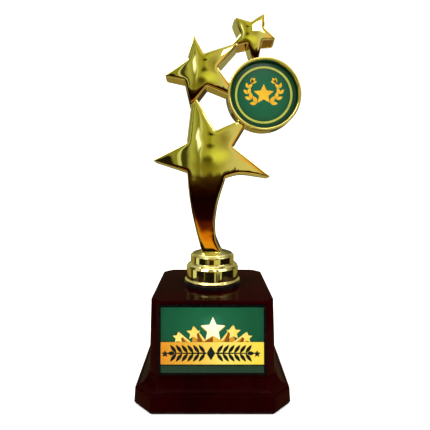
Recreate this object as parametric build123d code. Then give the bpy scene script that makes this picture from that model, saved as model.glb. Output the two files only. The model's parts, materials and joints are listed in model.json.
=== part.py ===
"""Star trophy: three gold-plated stars and a medallion on a stepped collar, clamped by one tie rod to a
hollow rosewood-coloured plinth.

Millimetres. +Z is up, the front of the trophy faces -Y, and the origin is the centre of the underside.
"""

from build123d import *
import os
from math import atan2, cos, degrees, hypot, radians, sin, sqrt

# ---------------------------------------------------------------- driving dimensions

THROUGH = 100.0  # longer than any part that a bore or a cut passes right through
PAST = 1.0  # how far a cut runs beyond the face it opens

# Plinth, from the table up
FELT_THICK = 1.0
FELT_INSET = 0.8
BOARD_THICK = 3.0
BOARD_CHAMFER = 9.9
BASE_WIDTH = 96.0  # across the flats at the bottom
BASE_TOP_WIDTH = 94.6
BASE_TOP_Z = 10.8
BASE_CHAMFER = 11.4  # corner cut, along each side
BASE_EDGE_ROUND = 1.2
BASE_RIM = 3.5  # wall of the base that is left round the board
COVE_RADIUS = 6.4
COVE_LIP = 0.35  # thickness of the cove's upper edge, beside the block
COVE_STEPS = 8
BLOCK_TOP_Z = 63.7
BLOCK_TOP_WIDTH = 76.4
BLOCK_BOTTOM_WIDTH = 78.8
BLOCK_CHAMFER = 6.2
BLOCK_INNER_CHAMFER = 5.2
BLOCK_TOP_ROUND = 1.8
BLOCK_CORNER_ROUND = 1.6
BLOCK_WALL = 2.6
BLOCK_ROOF = 3.0
SLIP = 0.15  # gap round a part that drops into a pocket
POST_PLACE = 32.0
POST_RADIUS = 4.5
POST_TOP_Z = 34.0
BOSS_RADIUS = 9.0
BOSS_BOTTOM_Z = 53.0
RIB_THICK = 2.0

# Ballast slab and the screws from below
BALLAST_SIDE = 50.0
BALLAST_THICK = 12.0
BALLAST_CORNER_CUT = 4.0
BALLAST_SCREW_PLACE = 16.0
SCREW_SHANK_RADIUS = 1.6
SCREW_HEAD_RADIUS = 3.2
SCREW_HEAD_HEIGHT = 1.6
SCREW_LENGTH = 13.0
SCREW_SLOT_LENGTH = 4.0
SCREW_SLOT_WIDTH = 0.7
SCREW_SLOT_DEPTH = 0.6
PILOT_SPARE = 1.0  # a screw's hole goes on this far past its tip

# Name plate on the front of the block
LABEL_WIDTH = 62.2
LABEL_HEIGHT = 39.0
LABEL_MIDDLE_Z = 40.4
LABEL_THICK = 0.5
BACKING_MARGIN = 1.6
BACKING_THICK = 0.7
TAPE_THICK = 0.3
TAPE_INSET = 2.0

# Collar and its gasket
GASKET_RADIUS = 19.6
GASKET_THICK = 2.5
GASKET_BORE_RADIUS = 8.0
GASKET_EDGE_CUT = 0.4
COLLAR_TOP_Z = 87.4
COLLAR_EDGE_ROUND = 0.5
COLLAR_ROUNDED = (13.5, 18.8)  # the rims between these radii are rounded
SPIGOT_RADIUS = 5.6
SPIGOT_SLIP = 0.05
SPIGOT_BOTTOM_Z = 73.6

# The collar's outside and the space inside it, each as (radius, height above its underside)
COLLAR_OUTSIDE = [
    (0.0, 0.0), (19.4, 0.0), (19.4, 1.2), (18.3, 2.1), (18.1, 9.8), (17.3, 11.3),
    (16.0, 12.4), (15.2, 17.4), (14.0, 19.0), (7.6, 21.2), (0.0, 21.2),
]
COLLAR_INSIDE = [
    (6.6, -1.0), (16.2, -1.0), (15.8, 9.4), (13.6, 11.4), (12.6, 16.4), (11.0, 17.4), (6.6, 18.2),
]

# Tie rod and its hardware
ROD_RADIUS = 3.0
ROD_CLEARANCE = 0.35
ROD_TOP_Z = 85.0
ROD_BOTTOM_Z = 40.0
ROD_END_GAP = 0.5
ROD_END_CUT = 0.5
INSERT_RADIUS = 4.2
WASHER_RADIUS = 9.0
WASHER_THICK = 1.6
SPRING_WASHER_RADIUS = 5.4
SPRING_WASHER_THICK = 1.5
SPRING_WASHER_SLIP = 0.2
SPLIT_WIDTH = 0.8
SPLIT_TILT = 20.0  # degrees
NUT_ACROSS_FLATS = 10.0
NUT_THICK = 5.0
NUT_CORNER_CUT = 0.5

# Figure: depth planes along Y, shared by every star and the medallion
EDGE_Y = -8.0  # front edge of the side walls
SEAM_Y = 6.0  # where front shell and back cover meet
COVER_EDGE_Y = 8.0
COVER_PEAK = 2.2
FLARE = 1.03  # the walls widen this much from front edge to seam, as a mould's draft does
COVER_FLARE = 1.02  # the covers' back edge, in the same way
SHELL_WALL = 2.2
HOLLOW_CROWN = 0.9  # crown of a shell's inner face as a share of its outer face's
FOOT_RADIUS = 6.9
FOOT_TOP_Z = 89.3
FOOT_EDGE_CUT = 0.8

# Each star: centre, then tip and valley in turn round the outline, as (X, Z), and how far its face crowns
LOWER_STAR = {
    "centre": (-1.9, 154.4),
    "outline": [
        (-13.6, 196.9), (2.0, 170.4), (27.4, 181.3), (14.0, 159.3), (41.7, 137.8), (19.0, 141.1),
        (8.5, 137.9), (-17.0, 141.8), (-41.2, 149.8), (-17.6, 162.2),
    ],
    "peak": 5.5,
    "pegs": [(-6.9, 156.7), (5.2, 151.7)],
}
MIDDLE_STAR = {
    "centre": (-8.2, 210.8),
    "outline": [
        (-13.0, 235.5), (-5.4, 222.9), (19.4, 230.8), (3.4, 213.6), (21.0, 190.8),
        (-3.7, 201.1), (-14.8, 186.8), (-18.8, 204.8), (-33.1, 208.1), (-16.7, 219.2),
    ],
    "peak": 4.0,
    "pegs": [(-8.2, 211.2)],
}
UPPER_STAR = {
    "centre": (27.7, 236.3),
    "outline": [
        (14.5, 248.0), (26.3, 244.7), (36.0, 250.2), (35.7, 240.7), (44.6, 233.0),
        (34.2, 232.3), (30.4, 210.6), (24.4, 230.5), (11.8, 228.0), (19.3, 236.5),
    ],
    "peak": 2.6,
    "pegs": [(27.7, 236.7)],
}

# Stem under the lower star, each side from the star down to the foot, as (X, Z)
STEM_LEFT = [(-17.0, 142.1), (-16.2, 128.0), (-13.9, 113.4), (-11.0, 100.8), (-7.5, 87.8)]
STEM_RIGHT = [(5.5, 87.8), (1.6, 96.3), (1.2, 106.4), (3.1, 120.0), (8.8, 139.0)]
STEM_FRONT_Y = -9.0
STEM_EDGE_CUT = 1.4
STEM_FLOOR_Z = 95.3  # the stem is solid below here

# Medallion cup, its axis along Y
MEDAL_CENTRE = (35.7, 195.4)
MEDAL_FRONT_Y = -9.5
MEDAL_RADIUS = 25.2
MEDAL_RECESS_RADIUS = 23.0
MEDAL_SEAT_Y = -3.6
MEDAL_WEB = 2.0
MEDAL_WALL = 4.2
MEDAL_COVER_DRAFT = 0.6
MEDAL_CROWN_RADIUS = 23.4
MEDAL_CROWN_DRAFT = 2.0
DISC_RADIUS = 22.8
DISC_THICK = 0.8
DISC_TAPE_RADIUS = 21.3
DISC_TAPE_THICK = 0.6
MEDAL_PEG_SPACING = 24.0

# Pegs that locate each back cover, and the pins that join neighbours
PEG_RADIUS = 1.4
PEG_LENGTH = 6.0
PEG_SLIP = 0.1
PEG_ROOT = 0.5  # the peg runs this far into its cover
SOCKET_RADIUS = 2.8
SOCKET_STEP = 0.5  # the sockets stop this far short of the seam
SOCKET_SPARE = 1.0  # depth of a socket past its peg's end
PIN_RADIUS = 0.9
PIN_LENGTH = 6.0
PIN_Y = -1.0

# Each joining pin: its middle and its direction, both in X and Z
LINK_PINS = {
    "lower_to_middle": ((-11.3, 192.4), (0.55, -0.84)),
    "lower_to_medal": ((22.9, 174.1), (0.51, 0.86)),
    "middle_to_medal": ((11.0, 198.1), (0.93, -0.37)),
    "upper_to_medal": ((30.6, 221.1), (0.1, -0.99)),
    "upper_to_middle": ((15.7, 227.3), (0.85, 0.52)),
}

# ---------------------------------------------------------------- derived dimensions

BOARD_TOP_Z = FELT_THICK + BOARD_THICK
COVE_TOP_Z = BASE_TOP_Z + COVE_RADIUS
COLLAR_BOTTOM_Z = BLOCK_TOP_Z + GASKET_THICK
BLOCK_SLOPE = (BLOCK_BOTTOM_WIDTH - BLOCK_TOP_WIDTH) / 2 / (BLOCK_TOP_Z - BASE_TOP_Z)
MEDAL_SEAM_RADIUS = MEDAL_RADIUS * FLARE
MEDAL_PEGS = [(MEDAL_CENTRE[0] + side * MEDAL_PEG_SPACING / 2, MEDAL_CENTRE[1]) for side in (-1, 1)]
FRONT = Plane.XZ  # local x is +X, local y is +Z, and its normal is -Y


def block_half_width(z):
    """Half the block's width at height z: its sides lean in towards the top."""
    return BLOCK_TOP_WIDTH / 2 + (BLOCK_TOP_Z - z) * BLOCK_SLOPE


# ---------------------------------------------------------------- shapes used more than once


def cut_square(width, chamfer, z):
    """A square face at height z with its four corners cut at 45 degrees."""
    half = width / 2
    inner = half - chamfer
    corners = [
        (inner, -half), (half, -inner), (half, inner), (inner, half),
        (-inner, half), (-half, inner), (-half, -inner), (-inner, -half),
    ]
    return Plane.XY.offset(z) * make_face(Polyline(*corners, close=True))


def tapered_block(bottom_width, top_width, chamfer, z0, z1):
    """A cut square lofted from z0 to z1."""
    return loft([cut_square(bottom_width, chamfer, z0), cut_square(top_width, chamfer, z1)])


def upright(radius, z0, z1, x=0.0, y=0.0):
    """A cylinder along Z between two heights."""
    return Pos(x, y, (z0 + z1) / 2) * Cylinder(radius, z1 - z0)


def four_corners(place):
    """The four points at (+-place, +-place)."""
    return [(sx * place, sy * place) for sx in (-1, 1) for sy in (-1, 1)]


def crosswise(radius, y0, y1, x, z):
    """A cylinder along Y between two depths."""
    return Pos(x, (y0 + y1) / 2, z) * Rot(X=90) * Cylinder(radius, abs(y1 - y0))


def scaled(outline, centre, share):
    """An outline scaled about its centre, which keeps every edge parallel to itself."""
    cx, cz = centre
    return [(cx + (x - cx) * share, cz + (z - cz) * share) for x, z in outline]


def inset(outline, distance):
    """A clockwise outline moved inwards by a distance, its edges meeting again in sharp corners."""
    moved = []
    for (ax, az), (bx, bz) in zip(outline, outline[1:] + outline[:1]):
        length = hypot(bx - ax, bz - az)
        nx, nz = (bz - az) / length * distance, -(bx - ax) / length * distance
        moved.append(((ax + nx, az + nz), (bx - ax, bz - az)))
    corners = []
    for ((px, pz), (dx, dz)), ((qx, qz), (ex, ez)) in zip(moved[-1:] + moved[:-1], moved):
        along = ((qx - px) * ez - (qz - pz) * ex) / (dx * ez - dz * ex)
        corners.append((px + dx * along, pz + dz * along))
    return corners


def peaked_prism(outline, centre, edge_y, back_outline, back_y, peak):
    """A closed solid between two parallel outlines, with flat facets rising from the first to a peak."""
    apex = (centre[0], edge_y + peak, centre[1])
    front = [(x, edge_y, z) for x, z in outline]
    back = [(x, back_y, z) for x, z in back_outline]
    faces = [Face(Wire.make_polygon(back, close=True))]
    for i in range(len(front)):
        j = (i + 1) % len(front)
        faces.append(Face(Wire.make_polygon([front[i], front[j], apex], close=True)))
        faces.append(Face(Wire.make_polygon([front[i], front[j], back[j], back[i]], close=True)))
    return Solid(Shell(faces))


# ---------------------------------------------------------------- figure


def star_body(star):
    """The outside of a star's front shell: walls that flare to the seam, and a crowned face."""
    seam = scaled(star["outline"], star["centre"], FLARE)
    return peaked_prism(star["outline"], star["centre"], EDGE_Y, seam, SEAM_Y, -star["peak"])


def star_hollow(star):
    """The space inside a star's front shell, open at the seam."""
    inner = inset(star["outline"], SHELL_WALL)
    floor_y = EDGE_Y + SHELL_WALL
    return peaked_prism(inner, star["centre"], floor_y, inner, SEAM_Y + PAST, -star["peak"] * HOLLOW_CROWN)


def star_cover(star):
    """The back cover of a star: a thin plate on the seam, crowned a little."""
    seam = scaled(star["outline"], star["centre"], FLARE)
    edge = scaled(star["outline"], star["centre"], COVER_FLARE)
    return peaked_prism(edge, star["centre"], COVER_EDGE_Y, seam, SEAM_Y, COVER_PEAK)


def stem_profile(margin=0.0):
    """The stem's front face, or the same face drawn in by a margin."""
    left = [(x + margin, z) for x, z in STEM_LEFT]
    right = [(x - margin, z) for x, z in STEM_RIGHT]
    top = (LOWER_STAR["centre"][0], LOWER_STAR["centre"][1] - 2 * margin)
    edges = [Spline(*left), Line(left[-1], right[0]), Spline(*right), Polyline(right[-1], top, left[0])]
    return FRONT * make_face(edges)


def stem_body():
    """The stem from its front face back to the seam, its front edges cut."""
    stem = extrude(stem_profile().moved(Location((0, STEM_FRONT_Y, 0))), STEM_FRONT_Y - SEAM_Y)
    side_edges = stem.faces().sort_by(Axis.Y)[0].edges().filter_by(GeomType.BSPLINE)
    return chamfer(side_edges, STEM_EDGE_CUT)


def stem_hollow():
    """The space inside the stem, down to its solid lower end."""
    space = extrude(stem_profile(SHELL_WALL).moved(Location((0, EDGE_Y + SHELL_WALL, 0))), EDGE_Y - SEAM_Y)
    return space - Pos(0, 0, STEM_FLOOR_Z - THROUGH / 2) * Box(THROUGH, THROUGH, THROUGH)


def stem_cover():
    """The part of the lower star's back cover that runs down behind the stem."""
    return extrude(stem_profile().moved(Location((0, SEAM_Y, 0))), SEAM_Y - COVER_EDGE_Y)


def foot():
    """The round foot on the collar, and the spigot below it that locates in the collar's bore."""
    pad = upright(FOOT_RADIUS, COLLAR_TOP_Z, FOOT_TOP_Z)
    pad = chamfer(pad.edges().group_by(Axis.Z)[-1], FOOT_EDGE_CUT)
    return pad + upright(SPIGOT_RADIUS, SPIGOT_BOTTOM_Z, COLLAR_TOP_Z)


def medal_body():
    """The outside of the medallion cup, flaring from its front rim to the seam."""
    depth = SEAM_Y - MEDAL_FRONT_Y
    cone = Cone(MEDAL_SEAM_RADIUS, MEDAL_RADIUS, depth)
    x, z = MEDAL_CENTRE
    return Pos(x, (SEAM_Y + MEDAL_FRONT_Y) / 2, z) * Rot(X=90) * cone


def medal_hollows():
    """The recess for the insert, and the space behind the web."""
    x, z = MEDAL_CENTRE
    recess = crosswise(MEDAL_RECESS_RADIUS, MEDAL_FRONT_Y - PAST, MEDAL_SEAT_Y, x, z)
    behind = crosswise(MEDAL_RADIUS - MEDAL_WALL, MEDAL_SEAT_Y + MEDAL_WEB, SEAM_Y + PAST, x, z)
    return recess + behind


def medal_cover():
    """The medallion's back cover: a round plate with a low crown on it."""
    x, z = MEDAL_CENTRE
    height = COVER_PEAK / 2
    plate = Cone(MEDAL_SEAM_RADIUS - MEDAL_COVER_DRAFT, MEDAL_SEAM_RADIUS, COVER_EDGE_Y - SEAM_Y)
    crown = Cone(MEDAL_CROWN_RADIUS - MEDAL_CROWN_DRAFT, MEDAL_CROWN_RADIUS, height)
    plate = Pos(x, (SEAM_Y + COVER_EDGE_Y) / 2, z) * Rot(X=90) * plate
    return plate + Pos(x, COVER_EDGE_Y + height / 2, z) * Rot(X=90) * crown


def sockets(places, floor_y):
    """Tubes inside a front shell that take a cover's pegs."""
    bottom_y = SEAM_Y - PEG_LENGTH - SOCKET_SPARE
    tubes = [crosswise(SOCKET_RADIUS, floor_y, SEAM_Y - SOCKET_STEP, x, z) for x, z in places]
    bores = [crosswise(PEG_RADIUS + PEG_SLIP, bottom_y, SEAM_Y, x, z) for x, z in places]
    return Part() + tubes - bores


def pegs(places):
    """A cover's pegs, which run into its back so that they join it."""
    return Part() + [crosswise(PEG_RADIUS, SEAM_Y - PEG_LENGTH, SEAM_Y + PEG_ROOT, x, z) for x, z in places]


def link_pin(name):
    """A short pin across the joint between two neighbours."""
    (x, z), (dx, dz) = LINK_PINS[name]
    tilt = degrees(atan2(dx, dz))
    return Pos(x, PIN_Y, z) * Rot(Y=tilt) * Cylinder(PIN_RADIUS, PIN_LENGTH)


def figure_parts():
    """Front shells, back covers, insert and pins. Each star ends where its neighbour begins."""
    medal = medal_body()
    upper = star_body(UPPER_STAR)
    middle = star_body(MIDDLE_STAR)
    lower = star_body(LOWER_STAR) + stem_body()
    pins = {name: link_pin(name) for name in LINK_PINS}
    all_pins = Part() + list(pins.values())

    upper_cover = star_cover(UPPER_STAR)
    middle_cover = star_cover(MIDDLE_STAR)
    lower_cover = star_cover(LOWER_STAR) + stem_cover() - foot()
    medal_plate = medal_cover()
    medal_past_cover = crosswise(MEDAL_SEAM_RADIUS, SEAM_Y, COVER_EDGE_Y + COVER_PEAK + PAST, *MEDAL_CENTRE)
    upper_past_cover = upper_cover + scaled_slab(UPPER_STAR)
    middle_past_cover = middle_cover + scaled_slab(MIDDLE_STAR)

    lower_shell = lower - star_hollow(LOWER_STAR) - stem_hollow()
    lower_shell += sockets(LOWER_STAR["pegs"], EDGE_Y) & lower
    lower_shell = lower_shell + foot() - foot_bore() - medal - middle - all_pins
    middle_shell = middle - star_hollow(MIDDLE_STAR)
    middle_shell += sockets(MIDDLE_STAR["pegs"], EDGE_Y) & middle
    middle_shell = middle_shell - medal - upper - all_pins
    upper_shell = upper - star_hollow(UPPER_STAR)
    upper_shell += sockets(UPPER_STAR["pegs"], EDGE_Y) & upper
    upper_shell = upper_shell - medal - all_pins
    medal_cup = medal - medal_hollows() + sockets(MEDAL_PEGS, MEDAL_SEAT_Y + MEDAL_WEB / 2) - all_pins

    return {
        "lower_star_shell": largest(lower_shell),
        "lower_star_cover": largest(lower_cover - medal_past_cover - middle_past_cover)
        + pegs(LOWER_STAR["pegs"]),
        "middle_star_shell": largest(middle_shell),
        "middle_star_cover": largest(middle_cover - medal_past_cover - upper_past_cover)
        + pegs(MIDDLE_STAR["pegs"]),
        "upper_star_shell": largest(upper_shell),
        "upper_star_cover": largest(upper_cover - medal_past_cover) + pegs(UPPER_STAR["pegs"]),
        "medallion_cup": medal_cup,
        "medallion_cover": medal_plate + pegs(MEDAL_PEGS),
        "link_pins": Compound(list(pins.values())),
    }


def scaled_slab(star):
    """A plain slab of a star's seam outline, deep enough to trim a neighbour's cover."""
    seam = scaled(star["outline"], star["centre"], FLARE)
    face = FRONT * make_face(Polyline(*seam, close=True))
    return extrude(face.moved(Location((0, SEAM_Y, 0))), SEAM_Y - COVER_EDGE_Y - COVER_PEAK)


def largest(shape):
    """The main solid of a trimmed part, without the offcut beyond its neighbour."""
    return Part() + shape.solids().sort_by(SortBy.VOLUME)[-1]


def insert_parts():
    """The printed disc in the medallion and the tape that holds it."""
    x, z = MEDAL_CENTRE
    tape_front = MEDAL_SEAT_Y - DISC_TAPE_THICK
    return {
        "insert_tape": crosswise(DISC_TAPE_RADIUS, tape_front, MEDAL_SEAT_Y, x, z),
        "insert_disc": crosswise(DISC_RADIUS, tape_front - DISC_THICK, tape_front, x, z),
    }


# ---------------------------------------------------------------- collar and clamp


def foot_bore():
    """The pocket in the spigot for the threaded insert, and the rod's run above it."""
    return upright(INSERT_RADIUS, SPIGOT_BOTTOM_Z - PAST, ROD_TOP_Z + ROD_END_GAP)


def turned(section):
    """A solid of revolution from a section given as (radius, height above the collar's underside)."""
    points = [(radius, COLLAR_BOTTOM_Z + height) for radius, height in section]
    return revolve(Plane.XZ * make_face(Polyline(*points, close=True)), Axis.Z)


def collar():
    """A stepped bell, hollow from below, with a sleeve down its middle that takes the clamp load."""
    bell = turned(COLLAR_OUTSIDE)
    smallest, greatest = COLLAR_ROUNDED
    rims = [e for e in bell.edges().filter_by(GeomType.CIRCLE) if smallest < e.radius < greatest]
    bell = fillet(rims, COLLAR_EDGE_ROUND)
    bore = upright(SPIGOT_RADIUS + SPIGOT_SLIP, SPIGOT_BOTTOM_Z, COLLAR_TOP_Z + PAST)
    rod_bore = upright(ROD_RADIUS + ROD_CLEARANCE, COLLAR_BOTTOM_Z - PAST, SPIGOT_BOTTOM_Z + PAST)
    return bell - turned(COLLAR_INSIDE) - bore - rod_bore


def tie_rod():
    """The tie rod: a plain stud at the thread's outside size, both ends chamfered."""
    rod = upright(ROD_RADIUS, ROD_BOTTOM_Z, ROD_TOP_Z)
    return chamfer(rod.edges().filter_by(GeomType.CIRCLE), ROD_END_CUT)


def spring_washer():
    """A flat ring, split at one place by a leaning cut."""
    ring = upright(SPRING_WASHER_RADIUS, 0, SPRING_WASHER_THICK)
    ring -= upright(ROD_RADIUS + SPRING_WASHER_SLIP, -PAST, SPRING_WASHER_THICK + PAST)
    cut = Box(SPRING_WASHER_RADIUS, SPLIT_WIDTH, SPRING_WASHER_RADIUS)
    return ring - Pos(SPRING_WASHER_RADIUS, 0, SPRING_WASHER_THICK / 2) * Rot(X=SPLIT_TILT) * cut


def hex_nut():
    """A nut with its corners cut at both ends, and a plain bore at the thread's outside size."""
    prism = extrude(RegularPolygon(NUT_ACROSS_FLATS / 2, 6, major_radius=False), NUT_THICK)
    barrel = Cylinder(NUT_ACROSS_FLATS / sqrt(3), NUT_THICK)
    barrel = chamfer(barrel.edges().filter_by(GeomType.CIRCLE), NUT_CORNER_CUT)
    return (prism & Pos(0, 0, NUT_THICK / 2) * barrel) - upright(ROD_RADIUS, -PAST, NUT_THICK + PAST)


def clamp_parts():
    """Everything on the rod, from the threaded insert in the foot down to the nut."""
    washer_z = BOSS_BOTTOM_Z - WASHER_THICK
    spring_z = washer_z - SPRING_WASHER_THICK
    nut_z = spring_z - NUT_THICK
    washer_bore = upright(ROD_RADIUS + ROD_CLEARANCE, 0, THROUGH)
    insert = upright(INSERT_RADIUS, SPIGOT_BOTTOM_Z, ROD_TOP_Z) - upright(ROD_RADIUS, 0, THROUGH)
    gasket = upright(GASKET_RADIUS, BLOCK_TOP_Z, COLLAR_BOTTOM_Z) - upright(GASKET_BORE_RADIUS, 0, THROUGH)
    gasket = chamfer(gasket.faces().sort_by(Axis.Z)[-1].outer_wire().edges(), GASKET_EDGE_CUT)
    return {
        "riser_collar": collar(),
        "collar_gasket": gasket,
        "foot_insert": insert,
        "tie_rod": tie_rod(),
        "clamp_washer": upright(WASHER_RADIUS, washer_z, BOSS_BOTTOM_Z) - washer_bore,
        "spring_washer": Pos(0, 0, spring_z) * spring_washer(),
        "hex_nut": Pos(0, 0, nut_z) * hex_nut(),
    }


# ---------------------------------------------------------------- plinth


def block_ribs(bottom_z, top_z):
    """Two crossed ribs under the block's roof, which run into its walls."""
    rib = Box(BLOCK_TOP_WIDTH - BLOCK_WALL, RIB_THICK, top_z - bottom_z)
    return [Pos(0, 0, (bottom_z + top_z) / 2) * Rot(Z=turn) * rib for turn in (0, 90)]


def screw_bores(place):
    """Plain holes up from the underside for a set of four screws."""
    top_z = FELT_THICK + SCREW_LENGTH + PILOT_SPARE
    return [upright(SCREW_SHANK_RADIUS, 0, top_z, x, y) for x, y in four_corners(place)]


def plinth_block():
    """The upper box: a leaning shell with a boss under its top for the rod and posts for the screws."""
    bottom = 2 * block_half_width(BOARD_TOP_Z)
    outer = tapered_block(bottom, BLOCK_TOP_WIDTH, BLOCK_CHAMFER, BOARD_TOP_Z, BLOCK_TOP_Z)
    uprights = [e for e in outer.edges() if e.bounding_box().size.Z > BASE_TOP_Z]
    outer = fillet(uprights, BLOCK_CORNER_ROUND)
    outer = fillet(outer.faces().sort_by(Axis.Z)[-1].edges(), BLOCK_TOP_ROUND)
    roof_z = BLOCK_TOP_Z - BLOCK_ROOF
    wide, narrow = bottom - 2 * BLOCK_WALL, BLOCK_TOP_WIDTH - 2 * BLOCK_WALL
    hollow = tapered_block(wide, narrow, BLOCK_INNER_CHAMFER, BOARD_TOP_Z - PAST, roof_z)
    posts = [upright(POST_RADIUS, BOARD_TOP_Z, POST_TOP_Z, x, y) for x, y in four_corners(POST_PLACE)]
    inner = upright(BOSS_RADIUS, BOSS_BOTTOM_Z, roof_z) + block_ribs(BOSS_BOTTOM_Z, roof_z) + posts
    shell = outer - hollow + (inner & outer)
    return shell - upright(ROD_RADIUS + ROD_CLEARANCE, 0, THROUGH) - screw_bores(POST_PLACE)


def cove(step):
    """A cut square round the cove, at one of the steps up its quarter circle."""
    angle = radians(90 * step / COVE_STEPS)
    out = COVE_RADIUS * (1 - sin(angle))
    half = block_half_width(COVE_TOP_Z) + COVE_LIP + out
    chamfer_here = BLOCK_CHAMFER + out * (2 - sqrt(2))  # keeps every side of the cove the same width
    return cut_square(2 * half, chamfer_here, BASE_TOP_Z + COVE_RADIUS * (1 - cos(angle)))


def plinth_base():
    """The lower frame: cut corners, a rounded top edge and a cove that runs up to the block."""
    plate = tapered_block(BASE_WIDTH, BASE_TOP_WIDTH, BASE_CHAMFER, FELT_THICK, BASE_TOP_Z)
    plate = fillet(plate.faces().sort_by(Axis.Z)[-1].edges(), BASE_EDGE_ROUND)
    frame = plate + [loft([cove(step), cove(step + 1)]) for step in range(COVE_STEPS)]
    low = 2 * (block_half_width(BOARD_TOP_Z) + SLIP)
    high = 2 * (block_half_width(COVE_TOP_Z) + SLIP)
    pocket = tapered_block(low, high, BLOCK_CHAMFER, BOARD_TOP_Z, COVE_TOP_Z)
    board_pocket = extrude(cut_square(BASE_WIDTH - 2 * BASE_RIM, BOARD_CHAMFER, 0), BOARD_TOP_Z)
    return frame - pocket - board_pocket


def screw_head(x, y):
    """The cone of a countersunk head, wide side down, flush with the board's underside."""
    head = Cone(SCREW_HEAD_RADIUS, SCREW_SHANK_RADIUS, SCREW_HEAD_HEIGHT)
    return Pos(x, y, FELT_THICK + SCREW_HEAD_HEIGHT / 2) * head


def countersunk_screw(x, y):
    """A cross-slotted screw that points up from the underside of the board."""
    slot = Box(SCREW_SLOT_LENGTH, SCREW_SLOT_WIDTH, 2 * SCREW_SLOT_DEPTH)
    cross = Pos(x, y, FELT_THICK) * (slot + Rot(Z=90) * slot)
    shank = upright(SCREW_SHANK_RADIUS, FELT_THICK, FELT_THICK + SCREW_LENGTH, x, y)
    return screw_head(x, y) + shank - cross


def screw_holes(places):
    """Countersunk holes through the board, a close fit on the screws."""
    holes = Part()
    for x, y in places:
        holes += screw_head(x, y) + upright(SCREW_SHANK_RADIUS, FELT_THICK, BOARD_TOP_Z, x, y)
    return holes


def plinth_parts():
    """The block, its base, the board that closes them, the ballast, the screws and the felt."""
    post_screws = four_corners(POST_PLACE)
    ballast_screws = four_corners(BALLAST_SCREW_PLACE)
    board = cut_square(BASE_WIDTH - 2 * BASE_RIM - 2 * SLIP, BOARD_CHAMFER, FELT_THICK)
    board = extrude(board, BOARD_THICK)
    ballast = Pos(0, 0, BOARD_TOP_Z + BALLAST_THICK / 2) * Box(BALLAST_SIDE, BALLAST_SIDE, BALLAST_THICK)
    ballast = chamfer(ballast.edges().filter_by(Axis.Z), BALLAST_CORNER_CUT)
    return {
        "plinth_block": plinth_block(),
        "plinth_base": plinth_base(),
        "bottom_board": board - screw_holes(post_screws + ballast_screws),
        "board_screws": Compound([countersunk_screw(x, y) for x, y in post_screws]),
        "ballast_slab": ballast - screw_bores(BALLAST_SCREW_PLACE),
        "ballast_screws": Compound([countersunk_screw(x, y) for x, y in ballast_screws]),
        "base_felt": extrude(cut_square(BASE_WIDTH - 2 * FELT_INSET, BASE_CHAMFER, 0), FELT_THICK),
    }


def label_sheet(width, height, near, far):
    """A rectangular sheet on the block's leaning front face, between two distances from that face."""
    lean = degrees(atan2(BLOCK_SLOPE, 1))
    surface_y = -block_half_width(LABEL_MIDDLE_Z)
    sheet = Pos(0, -(near + far) / 2, 0) * Box(width, far - near, height)
    return Pos(0, surface_y, LABEL_MIDDLE_Z) * Rot(X=-lean) * sheet


def label_layer(margin, near, far):
    """One layer of the label, larger than the plate by a margin on every side."""
    return label_sheet(LABEL_WIDTH + 2 * margin, LABEL_HEIGHT + 2 * margin, near, far)


def label_parts():
    """The printed plate, the black sheet behind it and the tape that holds both."""
    backing_far = TAPE_THICK + BACKING_THICK
    return {
        "label_tape": label_layer(-TAPE_INSET, 0.0, TAPE_THICK),
        "label_backing": label_layer(BACKING_MARGIN, TAPE_THICK, backing_far),
        "label_plate": label_layer(0.0, backing_far, backing_far + LABEL_THICK),
    }


# ---------------------------------------------------------------- write every node


def main():
    os.makedirs("parts", exist_ok=True)
    nodes = {**figure_parts(), **insert_parts(), **clamp_parts(), **plinth_parts(), **label_parts()}
    for name, shape in nodes.items():
        export_step(shape, f"parts/{name}.step")


main()
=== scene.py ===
"""Looks of the star trophy: smooth domed stars, mirror gold, a glossy dark plinth and printed artwork.

Lengths in the tables below are millimetres in the part's own frame: +Z up, the front faces -Y.
"""

import json
from math import atan2, cos, pi, radians, sin, tan

import bmesh
import bpy
import numpy as np
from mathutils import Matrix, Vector
from mathutils.geometry import delaunay_2d_cdt


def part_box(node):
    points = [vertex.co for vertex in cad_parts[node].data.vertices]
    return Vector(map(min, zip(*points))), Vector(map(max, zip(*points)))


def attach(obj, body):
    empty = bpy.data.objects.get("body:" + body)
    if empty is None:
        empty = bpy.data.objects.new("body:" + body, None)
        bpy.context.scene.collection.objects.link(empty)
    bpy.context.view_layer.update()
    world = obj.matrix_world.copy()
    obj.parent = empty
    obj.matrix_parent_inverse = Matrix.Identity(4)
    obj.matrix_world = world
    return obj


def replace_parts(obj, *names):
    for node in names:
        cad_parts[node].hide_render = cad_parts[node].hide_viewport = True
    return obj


MM = 0.001
NOISE_RANGE = (0.3, 0.7)  # where Blender's noise has nearly all its values

# ---------------------------------------------------------------- camera

CAMERA_PLACE = (0.0, -275.7, 142.6)
CAMERA_LENS = 32.65
CAMERA_SHIFT = (0.0063, -0.1023)
SENSOR_WIDTH = 36.0
CAMERA_CLIP = (0.01, 20.0)  # metres

# ---------------------------------------------------------------- stage and lights

# The sweep the trophy stands on, as (radius, height, corner radius)
SWEEP_SECTION = [(0.0, 0.0, 0.0), (3000.0, 0.0, 900.0), (3000.0, 4000.0, 0.0)]
SWEEP_STEP = 500.0
PAPER_NOISE = 3.0  # features in a metre
PAPER_TONES = [(0.2, (0.93, 0.93, 0.93)), (0.8, (0.95, 0.95, 0.95))]
PAPER_ROUGHNESS = 0.9
PAPER_GLOW = 0.26  # the sweep's own light, which keeps it white without brightening the prints
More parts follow.
